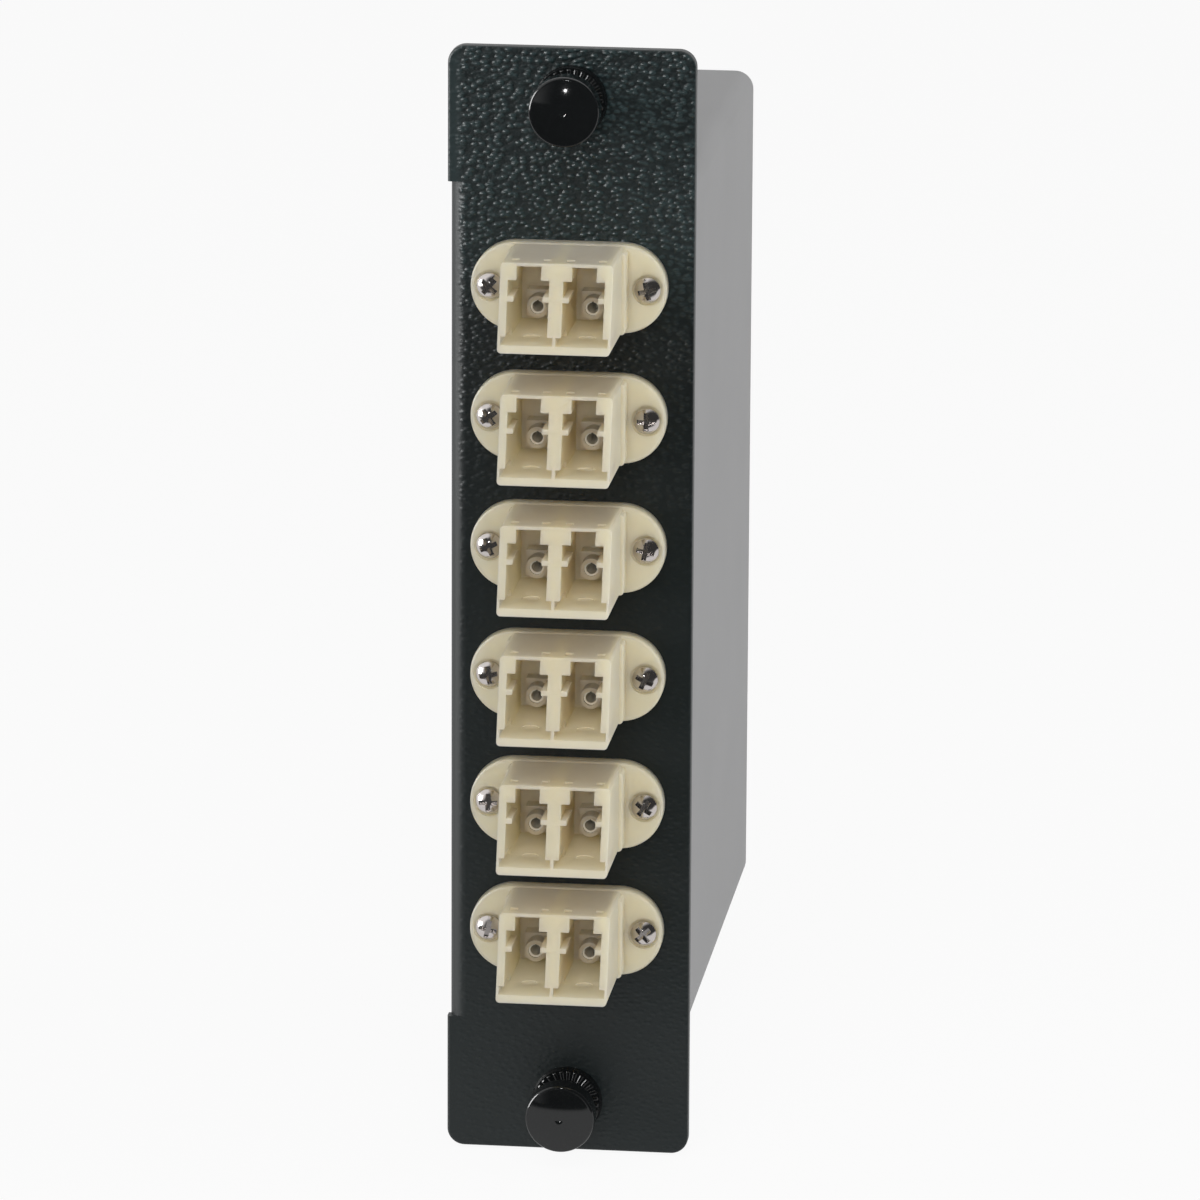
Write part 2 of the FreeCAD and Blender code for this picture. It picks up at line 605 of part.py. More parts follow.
# ---- screws and nuts --------------------------------------------------------------------------------------
def pan_screw(x, z, seat, end, toward=-1):
    """A small domed screw with a cross recess. Its head stands from seat towards -Y, or +Y if toward is 1."""
    r, h = SCREW_HEAD / 2, SCREW_HEAD_HEIGHT
    rim = h * 0.35
    crown = seat + toward * h
    edge = seat + toward * rim
    middle = V(r * 0.68, seat + toward * (rim + (h - rim) * 0.72), 0)
    outline = Part.Wire([
        Part.makeLine(V(0, end, 0), V(SCREW_SHANK / 2, end, 0)),
        Part.makeLine(V(SCREW_SHANK / 2, end, 0), V(SCREW_SHANK / 2, seat, 0)),
        Part.makeLine(V(SCREW_SHANK / 2, seat, 0), V(r, seat, 0)),
        Part.makeLine(V(r, seat, 0), V(r, edge, 0)),
        Part.Arc(V(r, edge, 0), middle, V(0, crown, 0)).toShape(),
        Part.makeLine(V(0, crown, 0), V(0, end, 0)),
    ])
    screw = Part.Face(outline).revolve(V(0, 0, 0), V(0, 1, 0), 360)
    half, arm = SCREW_CROSS_WIDTH / 2, SCREW_CROSS_REACH
    y0, y1 = sorted((crown + toward, crown - toward * SCREW_CROSS_DEPTH))
    cross = [box(-arm, arm, y0, y1, -half, half), box(-half, half, y0, y1, -arm, arm)]
    screw = screw.cut(cross)
    screw.rotate(V(0, 0, 0), V(0, 1, 0), 17.0 * (x + z))
    screw.translate(V(x, 0, z))
    return screw


def hex_nut(x, z, y0, y1):
    """A plain hexagon nut along Y."""
    corner = NUT_FLATS / math.sqrt(3)
    angles = [math.radians(30 + 60 * i) for i in range(6)]
    ring = [V(x + corner * math.cos(a), y0, z + corner * math.sin(a)) for a in angles]
    return prism(ring, V(0, y1 - y0, 0)).cut(rod(SCREW_SHANK + 2 * SHEET_GAP, y0, y1, x, z))


def adapter_screws():
    seat = FLANGE_FRONT + COUNTERBORE_DEPTH
    end = NUT_THICK + SCREW_PAST_NUT
    places = [(x, z) for z in adapter_heights() for x in flange_screw_sides()]
    return Part.makeCompound([pan_screw(x, z, seat, end) for x, z in places])


def adapter_nuts():
    places = [(x, z) for z in adapter_heights() for x in flange_screw_sides()]
    return Part.makeCompound([hex_nut(x, z, 0, NUT_THICK) for x, z in places])


def mpo_screws():
    end = REAR_WALL_INSIDE - NUT_THICK - SCREW_PAST_NUT
    z = MPO_HEIGHT_ON_WALL
    return Part.makeCompound([pan_screw(x, z, MPO_FLANGE_BACK, end, toward=1) for x in mpo_screw_sides()])


def mpo_nuts():
    y1 = REAR_WALL_INSIDE
    z = MPO_HEIGHT_ON_WALL
    return Part.makeCompound([hex_nut(x, z, y1 - NUT_THICK, y1) for x in mpo_screw_sides()])


# ---- push-pull latches ------------------------------------------------------------------------------------
def grommet(z):
    """Flanged grommet whose four legs grip behind the rack frame when the plunger is pushed in."""
    front = PANEL_FRONT - GROMMET_FLANGE_THICK
    r_flange, r_barrel = GROMMET_FLANGE / 2, GROMMET_BARREL / 2
    r_legs, r_bore = GROMMET_LEGS / 2, GROMMET_BORE / 2
    chamfer = GROMMET_FLANGE_THICK / 2
    taper = GROMMET_END_TAPER
    shape = turned([(r_bore, front), (r_flange - chamfer / 2, front), (r_flange, front + chamfer),
                    (r_flange, PANEL_FRONT), (r_barrel, PANEL_FRONT), (r_barrel, 0), (r_legs, 0),
                    (r_legs, GROMMET_LENGTH - taper), (r_legs - taper, GROMMET_LENGTH),
                    (r_bore, GROMMET_LENGTH)], 0, z)
    s, reach = GROMMET_SLOT / 2, GROMMET_BARREL
    start = GROMMET_SLOT_START
    slots = [box(-reach, reach, start, GROMMET_LENGTH + 1, z - s, z + s),
             box(-s, s, start, GROMMET_LENGTH + 1, z - reach, z + reach)]
    for slot in slots:
        slot.rotate(V(0, 0, z), V(0, 1, 0), 45)
    return shape.cut(slots)


def plunger(z):
    """Knob and stem in one piece, pulled out as it stands when the cassette is free to leave the rack."""
    r_knob, r_stem = KNOB_DIAMETER / 2, GROMMET_BORE / 2 - PLUNGER_CLEARANCE
    r_tip = PLUNGER_TIP_DIAMETER / 2
    edge_round = 0.35
    front = KNOB_BACK - KNOB_EDGE
    end = GROMMET_LENGTH - PLUNGER_END_SETBACK
    crown = front - KNOB_CROWN
    chord = r_knob - edge_round
    rise = KNOB_CROWN - edge_round
    radius = (chord * chord + rise * rise) / (2 * rise)
    half_angle = math.asin(chord / radius) / 2
    mid = V(radius * math.sin(half_angle), crown + radius * (1 - math.cos(half_angle)), 0)
    corner = math.sqrt(0.5)
    soft = V(r_knob - edge_round * (1 - corner), front - edge_round * corner, 0)
    outline = Part.Wire([
        Part.Arc(V(0, crown, 0), mid, V(chord, front - edge_round, 0)).toShape(),
        Part.Arc(V(chord, front - edge_round, 0), soft, V(r_knob, front, 0)).toShape(),
        Part.makeLine(V(r_knob, front, 0), V(r_knob, KNOB_BACK, 0)),
        Part.makeLine(V(r_knob, KNOB_BACK, 0), V(r_stem, KNOB_BACK, 0)),
        Part.makeLine(V(r_stem, KNOB_BACK, 0), V(r_stem, end - PLUNGER_TIP_TAPER, 0)),
        Part.makeLine(V(r_stem, end - PLUNGER_TIP_TAPER, 0), V(r_tip, end, 0)),
        Part.makeLine(V(r_tip, end, 0), V(0, end, 0)),
        Part.makeLine(V(0, end, 0), V(0, crown, 0)),
    ])
    shape = Part.Face(outline).revolve(V(0, 0, 0), V(0, 1, 0), 360)
    shape.translate(V(0, 0, z))
    return shape


# ---- rear MPO adapter -------------------------------------------------------------------------------------
def mpo_port(y0, y1):
    """A rounded MPO port with its keyway on top."""
    z = MPO_HEIGHT_ON_WALL
    w, h = MPO_PORT_WIDTH / 2, MPO_PORT_HEIGHT / 2
    port = rounded_block(-w, w, y0, y1, z - h, z + h, MPO_PORT_ROUND)
    key = box(-MPO_KEYWAY_WIDTH / 2, MPO_KEYWAY_WIDTH / 2, y0, y1, z, z + h + MPO_KEYWAY_HEIGHT)
    return port.fuse(key)


def mpo_adapter():
    """Flanged MPO adapter, put in from behind and screwed to the rear wall."""
    z = MPO_HEIGHT_ON_WALL
    w, h = MPO_BODY_WIDTH / 2, MPO_BODY_HEIGHT / 2
    inner, outer = CASE_DEPTH - MPO_INNER_REACH, CASE_DEPTH + MPO_BODY_REACH
    body = rounded_block(-w, w, inner, outer, z - h, z + h, BODY_ROUND)
    flange_width = 2 * (mpo_screw_sides()[1] + MPO_FLANGE_END)
    flange = oblong(flange_width, FLANGE_HEIGHT, CASE_DEPTH, MPO_FLANGE_BACK, z)
    shape = body.fuse(flange).removeSplitter()
    web0 = CASE_DEPTH + MPO_FLANGE_THICK / 2 - MPO_WEB / 2
    tools = [mpo_port(inner - 1, web0), mpo_port(web0 + MPO_WEB, outer + 1)]
    slot_w, slot_h = MPO_FERRULE_WIDTH / 2, MPO_FERRULE_HEIGHT / 2
    tools.append(box(-slot_w, slot_w, web0 - 1, web0 + MPO_WEB + 1, z - slot_h, z + slot_h))
    for x in mpo_screw_sides():
        tools.append(rod(SCREW_SHANK + 2 * SCREW_CLEARANCE, CASE_DEPTH - 1, MPO_FLANGE_BACK + 1, x, z))
    return shape.cut(tools)


# ---- fibres inside the case -------------------------------------------------------------------------------
def inner_plug(x, z):
    """An LC plug in a rear port: ferrule, square body, latch and boot."""
    axis = z + PORT_AXIS
    half = PLUG_SIDE / 2
    body = rounded_block(x - half, x + half, PLUG_FACE, BOOT_START, axis - half, axis + half, PLUG_ROUND)
    ferrule = rod(FERRULE_DIAMETER, PLUG_FACE - FERRULE_PAST_FACE, PLUG_FACE + 1, x, axis)
    boot = cone(BOOT_ROOT, BOOT_TIP, BOOT_START, BOOT_END, x, axis)
    arm = LATCH_SLOT_WIDTH / 2 - 0.2
    low, high = axis + half, z + LATCH_SPACE_TOP - 0.3
    latch = prism([V(x - arm, PLUG_FACE + 1, low), V(x - arm, PLUG_FACE + 2.2, low + 0.7),
                   V(x - arm, BOOT_START - 1, high), V(x - arm, BOOT_START - 1, high - 0.6),
                   V(x - arm, PLUG_FACE + 4, low)], V(2 * arm, 0, 0))
    return body.fuse([ferrule, boot, latch]).removeSplitter()


def plug_pair(z):
    return Part.makeCompound([inner_plug(x, z) for x in port_sides()])


def fibre_lead(x, z, lane):
    """One coated fibre: straight out of its boot, a quarter bend, then down its lane to the fan-out."""
    axis = z + PORT_AXIS
    start, turn = V(x, BOOT_END, axis), V(x, lane - LEAD_BEND, axis)
    below, foot = V(x, lane, axis - LEAD_BEND), V(x, lane, FANOUT_TOP)
    k = math.sqrt(0.5)
    mid = V(x, lane - LEAD_BEND * (1 - k), axis - LEAD_BEND * (1 - k))
    bend = Part.Arc(turn, mid, below).toShape()
    path = Part.Wire([Part.makeLine(start, turn), bend, Part.makeLine(below, foot)])
    section = Part.Wire([Part.makeCircle(LEAD_DIAMETER / 2, start, V(0, 1, 0))])
    return path.makePipeShell([section], True, False)


def fibre_leads():
    """Twelve leads. The top adapter's run in the rearmost lanes, so that none crosses another."""
    leads = []
    for i, z in enumerate(adapter_heights()):
        lane = LAST_LANE - i * LANE_PITCH
        leads += [fibre_lead(x, z, lane) for x in port_sides()]
    return Part.makeCompound(leads)


def fan_out():
    """Moulded block that gathers the leads into a ribbon, standing on the cover's lower flange."""
    half = FANOUT_WIDTH / 2
    return rounded_block(-half, half, FIRST_LANE - FANOUT_MARGIN, RIBBON_LINE + FANOUT_MARGIN,
                         CASE_FLOOR, FANOUT_TOP, 0.6)


def mpo_plug_front():
    """How far forward the inner MPO plug and its boot reach."""
    return RIBBON_LINE + RIBBON_BEND


def ribbon():
    """Twelve-fibre ribbon from the fan-out up and back into the MPO plug."""
    z = MPO_HEIGHT_ON_WALL
    k = math.sqrt(0.5)
    foot, below = V(0, RIBBON_LINE, FANOUT_TOP), V(0, RIBBON_LINE, z - RIBBON_BEND)
    end = V(0, mpo_plug_front(), z)
    mid = V(0, RIBBON_LINE + RIBBON_BEND * (1 - k), z - RIBBON_BEND * (1 - k))
    path = Part.Wire([Part.makeLine(foot, below), Part.Arc(below, mid, end).toShape()])
    w, t = RIBBON_WIDTH / 2, RIBBON_THICK / 2
    section = Part.makePolygon([foot + V(-w, -t, 0), foot + V(w, -t, 0), foot + V(w, t, 0),
                                foot + V(-w, t, 0), foot + V(-w, -t, 0)])
    return path.makePipeShell([section], True, False)


def mpo_plug():
    """The MPO plug on the inner side of the rear adapter."""
    z = MPO_HEIGHT_ON_WALL
    w, h = MPO_PLUG_WIDTH / 2, MPO_PLUG_HEIGHT / 2
    web0 = CASE_DEPTH + MPO_FLANGE_THICK / 2 - MPO_WEB / 2
    face = web0 - SHEET_GAP
    start = mpo_plug_front() + MPO_BOOT_LENGTH
    body = rounded_block(-w, w, start, face, z - h, z + h, MPO_PORT_ROUND)
    bw, bh = MPO_BOOT_WIDTH / 2, MPO_BOOT_HEIGHT / 2
    boot = rounded_block(-bw, bw, mpo_plug_front(), start, z - bh, z + bh, 0.8)
    fw, fh = MPO_FERRULE_WIDTH / 2 - 0.1, MPO_FERRULE_HEIGHT / 2 - 0.1
    ferrule = box(-fw, fw, face - 1, face + MPO_WEB / 2, z - fh, z + fh)
    return body.fuse([boot, ferrule]).removeSplitter()


def build():
    """Every piece by its node's name."""
    nodes = {
        "chassis": chassis(),
        "side_cover": cover(),
        "cover_screws": cover_screws(),
        "adapter_screws": adapter_screws(),
        "adapter_nuts": adapter_nuts(),
        "mpo_adapter": mpo_adapter(),
        "mpo_screws": mpo_screws(),
        "mpo_nuts": mpo_nuts(),
        "mpo_plug": mpo_plug(),
        "fibre_leads": fibre_leads(),
        "fan_out_block": fan_out(),
        "fibre_ribbon": ribbon(),
    }
    for name, z in (("upper", LATCH_SPACING / 2), ("lower", -LATCH_SPACING / 2)):
        nodes[f"{name}_grommet"] = grommet(z)
        nodes[f"{name}_plunger"] = plunger(z)
    for i, z in enumerate(adapter_heights(), start=1):
        nodes[f"adapter_{i}_front"] = adapter_front(z)
        nodes[f"adapter_{i}_rear"] = adapter_rear(z)
        nodes[f"sleeve_pair_{i}"] = sleeve_pair(z)
        nodes[f"plug_pair_{i}"] = plug_pair(z)
    return nodes


def main():
    os.makedirs("parts", exist_ok=True)
    for name, shape in build().items():
        solids = shape.Solids
        if not shape.isValid() or not solids or min(s.Volume for s in solids) <= 0:
            print("PROBLEM", name, "valid", shape.isValid(), "solids", len(solids))
        shape.exportStep(f"parts/{name}.step")
        print(name, "solids", len(solids), "volume", round(shape.Volume, 2))


main()
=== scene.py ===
# %% [markdown]
# # A fibre cassette, dressed for a plain studio
#
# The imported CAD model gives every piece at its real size. This file gives the pieces their finishes,
# softens the moulded ones, and lights them. Everything is in metres: X to the right, Y back into the rack,
# Z up. It starts with the box that the CAD model fills. The floor takes its place from that box, and the
# finishes take theirs from the boxes of single pieces.

# %% Load the frame
import json
import math

import bmesh
import bpy
from mathutils import Matrix, Vector


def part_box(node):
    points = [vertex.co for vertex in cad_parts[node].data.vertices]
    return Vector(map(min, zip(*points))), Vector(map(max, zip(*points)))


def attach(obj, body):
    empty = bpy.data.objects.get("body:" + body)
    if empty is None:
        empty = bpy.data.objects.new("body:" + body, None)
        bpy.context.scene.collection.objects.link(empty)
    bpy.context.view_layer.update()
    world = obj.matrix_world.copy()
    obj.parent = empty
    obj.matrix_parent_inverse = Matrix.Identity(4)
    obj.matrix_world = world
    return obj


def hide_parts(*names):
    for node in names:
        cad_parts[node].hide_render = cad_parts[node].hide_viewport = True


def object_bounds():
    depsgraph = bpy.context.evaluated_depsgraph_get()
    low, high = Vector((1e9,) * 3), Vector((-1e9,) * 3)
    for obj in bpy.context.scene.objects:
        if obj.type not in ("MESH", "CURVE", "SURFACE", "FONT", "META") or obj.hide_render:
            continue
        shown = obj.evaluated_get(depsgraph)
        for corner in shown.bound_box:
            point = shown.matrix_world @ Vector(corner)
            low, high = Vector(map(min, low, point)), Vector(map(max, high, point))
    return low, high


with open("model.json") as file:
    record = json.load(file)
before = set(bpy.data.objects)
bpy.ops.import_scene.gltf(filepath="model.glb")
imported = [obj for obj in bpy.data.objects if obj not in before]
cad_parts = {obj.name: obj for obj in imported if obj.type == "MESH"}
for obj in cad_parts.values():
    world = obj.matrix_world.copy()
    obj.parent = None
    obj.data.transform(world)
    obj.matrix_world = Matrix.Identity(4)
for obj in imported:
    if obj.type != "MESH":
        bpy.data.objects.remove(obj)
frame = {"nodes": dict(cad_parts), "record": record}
nodes = frame["nodes"]
cad_low, cad_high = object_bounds()
MM = 0.001
print(len(nodes), "pieces in a box of, mm:", [round((b - a) / MM, 1) for a, b in zip(cad_low, cad_high)])

# %% [markdown]
# ## Camera
#
# A tall, narrow part is best seen from far away through a long lens, so that its sides stay nearly
# parallel. A camera can be placed by hand or by a constraint. Here it is placed by azimuth, elevation, roll
# and distance round an aim point, because those numbers say in plain words where the viewer stands.

# %% Camera
AIM = Vector((2.5, -1.5, 1.6)) * MM
AZIMUTH = 6.88          # degrees to the right of straight ahead
ELEVATION = 14.17       # degrees above level
ROLL = 0.28             # degrees
DISTANCE = 0.9306
LENS, SENSOR = 244.1, 36.0          # millimetres, as a camera's are
SHIFT = (0.0074, -0.0038)


def place_camera():
    azimuth, elevation, roll = (math.radians(a) for a in (AZIMUTH, ELEVATION, ROLL))
    ahead = Vector((-math.sin(azimuth) * math.cos(elevation), math.cos(azimuth) * math.cos(elevation),
                    -math.sin(elevation)))
    level = ahead.cross(Vector((0, 0, 1))).normalized()
    upright = level.cross(ahead)
    right = level * math.cos(roll) + upright * math.sin(roll)
    up = right.cross(ahead)
    where = AIM - ahead * DISTANCE
    turn = Matrix((right, up, -ahead)).transposed().to_4x4()
    data = bpy.data.cameras.new("camera")
    data.lens, data.sensor_width = LENS, SENSOR
    data.shift_x, data.shift_y = SHIFT
    data.clip_start, data.clip_end = 0.01, 20.0
    camera = bpy.data.objects.new("camera", data)
    camera.matrix_world = Matrix.Translation(where) @ turn
    bpy.context.scene.collection.objects.link(camera)
    bpy.context.scene.camera = camera
    return where


print("camera at", [round(v, 3) for v in place_camera()])

# %% [markdown]
# ## Small helpers for node trees
#
# Every finish below is a node tree. It could be clicked together by hand, but a few short helpers keep it
# readable as text. They add a node with its settings, fill its sockets, step smoothly between two limits,
# join two values and read the place on the object. They also make a group with named sockets, so that an
# effect can be placed in several materials with its own values.

# %% Node helpers


def add(tree, kind, **settings):
    node = tree.nodes.new(kind)
    for name, value in settings.items():
        setattr(node, name, value)
    return node


def fill(node, **values):
    for name, value in values.items():
        node.inputs[name.replace("_", " ")].default_value = value
    return node


def new_group(name, inputs, outputs):
    """An empty group; inputs is a list of (name, socket kind, default)."""
    tree = bpy.data.node_groups.new(name, "ShaderNodeTree")
    for label, kind, default in inputs:
        tree.interface.new_socket(label, in_out="INPUT", socket_type=kind).default_value = default
    for label, kind in outputs:
        tree.interface.new_socket(label, in_out="OUTPUT", socket_type=kind)
    return tree, add(tree, "NodeGroupInput"), add(tree, "NodeGroupOutput")


def use_group(tree, group, **values):
    node = add(tree, "ShaderNodeGroup", node_tree=group)
    return fill(node, **values)


def ramp(tree, value, start, end, low=0.0, high=1.0):
    """Smooth step of a value between two limits."""
    step = add(tree, "ShaderNodeMapRange", interpolation_type="SMOOTHSTEP")
    fill(step, From_Min=start, From_Max=end, To_Min=low, To_Max=high)
    tree.links.new(value, step.inputs["Value"])
    return step.outputs["Result"]


def combine(tree, operation, a, b=0.0):
    """A Math node; each of a and b is a number or the output of another node."""
    node = add(tree, "ShaderNodeMath", operation=operation)
    for socket, value in zip(node.inputs, (a, b)):
        if isinstance(value, (int, float)):
            socket.default_value = value
        else:
            tree.links.new(value, socket)
    return node.outputs[0]


def place_of(tree):
    """The place on the object, one output for each axis."""
    where = add(tree, "ShaderNodeTexCoord")
    parts = add(tree, "ShaderNodeSeparateXYZ")
    tree.links.new(where.outputs["Object"], parts.inputs[0])
    return parts.outputs


# %% [markdown]
# ## Pebble
#
# Textured powder coat flows into small round bumps as it cures. It could be modelled, painted or displaced.
# The bumps are a fraction of a millimetre high, so a height for a Bump node is enough. Cells from a Voronoi
# texture make the round tops, a little wider than tall, and a noise gives them unequal heights.

# %% Pebble group
FLOAT, COLOUR = "NodeSocketFloat", "NodeSocketColor"
PEBBLE_SQUEEZE = (0.75, 1.0, 1.15)      # a smaller number makes the pebbles longer that way
DOME_EDGE, DOME_TOP = 0.6, 0.05         # distances from a cell's middle, in cells
NOISE_PER_PEBBLE = 0.8


def pebble_group():
    tree, inside, outside = new_group(
        "pebble", [("Pebbles per metre", FLOAT, 1300.0), ("Grain", FLOAT, 0.25)], [("Height", FLOAT)])
    link = tree.links.new
    where = add(tree, "ShaderNodeTexCoord")
    squeeze = fill(add(tree, "ShaderNodeMapping"), Scale=PEBBLE_SQUEEZE)
    cells = fill(add(tree, "ShaderNodeTexVoronoi", feature="SMOOTH_F1"), Smoothness=0.5, Randomness=1.0)
    patches = fill(add(tree, "ShaderNodeTexNoise"), Detail=3.0, Roughness=0.6)
    link(where.outputs["Object"], squeeze.inputs["Vector"])
    for texture in (cells, patches):
        link(squeeze.outputs["Vector"], texture.inputs["Vector"])
    per_metre = inside.outputs["Pebbles per metre"]
    link(per_metre, cells.inputs["Scale"])
    link(combine(tree, "MULTIPLY", per_metre, NOISE_PER_PEBBLE), patches.inputs["Scale"])
    domes = ramp(tree, cells.outputs["Distance"], DOME_EDGE, DOME_TOP)
    uneven = combine(tree, "MULTIPLY", patches.outputs["Fac"], inside.outputs["Grain"])
    link(combine(tree, "ADD", uneven, domes), outside.inputs["Height"])
    return tree


pebble = pebble_group()
print("pebble group:", len(pebble.nodes), "nodes")

# %% [markdown]
# ## Mottle
#
# No real surface has one exact colour. Pigment settles in clouds and light finds fine grain. One group
# lightens and darkens a colour by a cloudy noise and a fine one. It moves the roughness with the cloud, and
# gives the fine noise as a height as well.

# %% Mottle group
CLOUDS_PER_METRE = 60.0


def mottle_group():
    tree, inside, outside = new_group(
        "mottle",
        [("Colour", COLOUR, (0.5, 0.5, 0.5, 1)), ("Cloud", FLOAT, 0.05), ("Grain", FLOAT, 0.05),
         ("Roughness", FLOAT, 0.5), ("Roughness swing", FLOAT, 0.1), ("Grains per metre", FLOAT, 6000.0)],
        [("Colour", COLOUR), ("Roughness", FLOAT), ("Grain height", FLOAT)])
    link = tree.links.new
    where = add(tree, "ShaderNodeTexCoord")
    cloud = fill(add(tree, "ShaderNodeTexNoise"), Scale=CLOUDS_PER_METRE, Detail=3.0, Roughness=0.55)
    grain = fill(add(tree, "ShaderNodeTexNoise"), Detail=3.0, Roughness=0.7)
    for texture in (cloud, grain):
        link(where.outputs["Object"], texture.inputs["Vector"])
    link(inside.outputs["Grains per metre"], grain.inputs["Scale"])

    def swing(noise, amount, onto):
        """onto, plus the noise about its middle times amount."""
        about_zero = combine(tree, "SUBTRACT", noise.outputs["Fac"], 0.5)
        return combine(tree, "ADD", combine(tree, "MULTIPLY", about_zero, inside.outputs[amount]), onto)

    factor = swing(grain, "Grain", swing(cloud, "Cloud", 1.0))
    tint = add(tree, "ShaderNodeVectorMath", operation="SCALE")
    link(inside.outputs["Colour"], tint.inputs[0])
    link(factor, tint.inputs["Scale"])
    link(tint.outputs["Vector"], outside.inputs["Colour"])
    link(swing(cloud, "Roughness swing", inside.outputs["Roughness"]), outside.inputs["Roughness"])
    link(grain.outputs["Fac"], outside.inputs["Grain height"])
    return tree


mottle = mottle_group()
print("mottle group:", len(mottle.nodes), "nodes")

# %% [markdown]
# ## A finish from the mottle group
#
# Most of the finishes differ only in colour, shine and grain. Each could be built by itself. One function
# builds them all from those numbers, so that a change to the way a finish is made reaches every piece.

# %% Finishes
GRAIN_STRENGTH = 0.6


def material_with(name, colour, metallic=0.0, specular=0.5):
    """A material, its tree and its Principled BSDF."""
    material = bpy.data.materials.new(name)
    material.use_nodes = True
    tree = material.node_tree
    shader = tree.nodes["Principled BSDF"]
    shader.inputs["Base Color"].default_value = (*colour, 1)
    shader.inputs["Metallic"].default_value = metallic
    shader.inputs["Specular IOR Level"].default_value = specular
    return material, tree, shader


def bump(tree, shader, height, strength, distance):
    """Let a height bend the shader's normal."""
    lift = fill(add(tree, "ShaderNodeBump"), Strength=strength, Distance=distance)
    tree.links.new(height, lift.inputs["Height"])
    tree.links.new(lift.outputs["Normal"], shader.inputs["Normal"])


def mottled(name, colour, roughness, cloud=0.05, grain=0.05, swing=0.1, per_metre=6000.0, grain_height=0.0,
            metallic=0.0):
    """A finish whose colour and roughness come from the mottle group, with its grain as a fine bump."""
    material, tree, shader = material_with(name, colour, metallic)
    effect = use_group(tree, mottle, Colour=(*colour, 1), Cloud=cloud, Grain=grain, Roughness=roughness,
                       Roughness_swing=swing, Grains_per_metre=per_metre)
    tree.links.new(effect.outputs["Colour"], shader.inputs["Base Color"])
    tree.links.new(effect.outputs["Roughness"], shader.inputs["Roughness"])
    if grain_height:
        bump(tree, shader, effect.outputs["Grain height"], GRAIN_STRENGTH, grain_height)
    return material


# %% [markdown]
# ## Paint on the folded sheets
#
# The chassis wears a black pebbled powder coat and the cover a smooth grey one. The pebbles are bold at the
# top of the front face, and nearly level at the bottom, round the fold and on the other walls. The black
# paint's
# colour also holds painted light: painted shade in the creases, a painted highlight on each dome and a
# painted sheen that lightens the front face towards the top. Two paints could do that. Here the bump's
# height and the painted shade and sheen follow the place on the object, so one material does it all.

# %% Paints
BLACK = (0.0065, 0.0112, 0.0118)
GREY = (0.335, 0.335, 0.34)
PEBBLES_PER_METRE = 1600.0
PEBBLE_HEIGHT = 0.22 * MM
FRONT_FADE = (0.05 * MM, 0.30 * MM)         # behind the panel's front, where pebbles and the painted sheen fade
FOLD_FADE = (-13.4 * MM, -12.0 * MM)        # across the fold at the panel's left, where pebbles rise
HEIGHT_FADE = (0.0, 60.0 * MM)              # up the panel, where pebbles rise
SHARE_BEHIND, SHARE_ON_FOLD, SHARE_LOW = 0.1, 0.15, 0.12    # what is left at the weak end of each
PAINTED_SHEEN_FADE = (30.0 * MM, 45.0 * MM)         # up the panel, where a painted sheen makes the coat lighter
PAINTED_SHEEN_GAIN = 2.0                                 # how much lighter the painted sheen makes the coat above that
CREASE_HEIGHTS = (0.35, 1.1)                # of the pebbles, from a crease to a dome
PAINTED_SHADE_AND_HIGHLIGHT = (-0.65, 0.35)                # painted shade in a crease and painted highlight on a dome, as added to the tone
panel_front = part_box("chassis")[0].y


def chassis_paint():
    material, tree, shader = material_with("chassis_paint", BLACK, specular=0.4)
    link = tree.links.new
    black = use_group(tree, mottle, Colour=(*BLACK, 1), Cloud=0.3, Grain=0.3, Roughness=0.45,
                      Roughness_swing=0.1)
    pebbles = use_group(tree, pebble, Pebbles_per_metre=PEBBLES_PER_METRE, Grain=1.0).outputs["Height"]
    place = place_of(tree)
    start, end = FRONT_FADE
    face = ramp(tree, place["Y"], panel_front + start, panel_front + end, 1.0, SHARE_BEHIND)
    flat = combine(tree, "MULTIPLY", face, ramp(tree, place["X"], *FOLD_FADE, SHARE_ON_FOLD))
    strength = combine(tree, "MULTIPLY", flat, ramp(tree, place["Z"], *HEIGHT_FADE, SHARE_LOW))
    # Painted shade and painted highlight: the tone darkens in the creases between pebbles and lightens on
    # their domes, as strongly as the pebbles stand.
    painted_crease_shade = combine(tree, "MULTIPLY", strength, ramp(tree, pebbles, *CREASE_HEIGHTS, *PAINTED_SHADE_AND_HIGHLIGHT))
    # Painted sheen: the front face's tone lightens towards the top of the panel.
    painted_sheen = combine(tree, "MULTIPLY", face, ramp(tree, place["Z"], *PAINTED_SHEEN_FADE, 0.0, PAINTED_SHEEN_GAIN))
    shade = combine(tree, "ADD", painted_crease_shade, 1.0)
    light = combine(tree, "ADD", painted_sheen, 1.0)
    tone = add(tree, "ShaderNodeVectorMath", operation="SCALE")
    link(black.outputs["Colour"], tone.inputs[0])
    link(combine(tree, "MULTIPLY", shade, light), tone.inputs["Scale"])
    link(tone.outputs["Vector"], shader.inputs["Base Color"])
    link(black.outputs["Roughness"], shader.inputs["Roughness"])
    bump(tree, shader, combine(tree, "MULTIPLY", pebbles, strength), 1.0, PEBBLE_HEIGHT)
    return material


black_paint = chassis_paint()
grey_paint = mottled("cover_paint", GREY, 0.5, cloud=0.03, grain=0.08, per_metre=5000.0,
                     grain_height=0.01 * MM)
print("paints:", black_paint.name, grey_paint.name, "- front face at", round(panel_front / MM, 1), "mm")

# %% [markdown]
# ## Moulded plastic
#
# The adapters are a beige engineering plastic with a soft satin face. Thin walls of it let light through. A
# brighter colour could stand for that, but subsurface scattering does it where the walls really are thin.

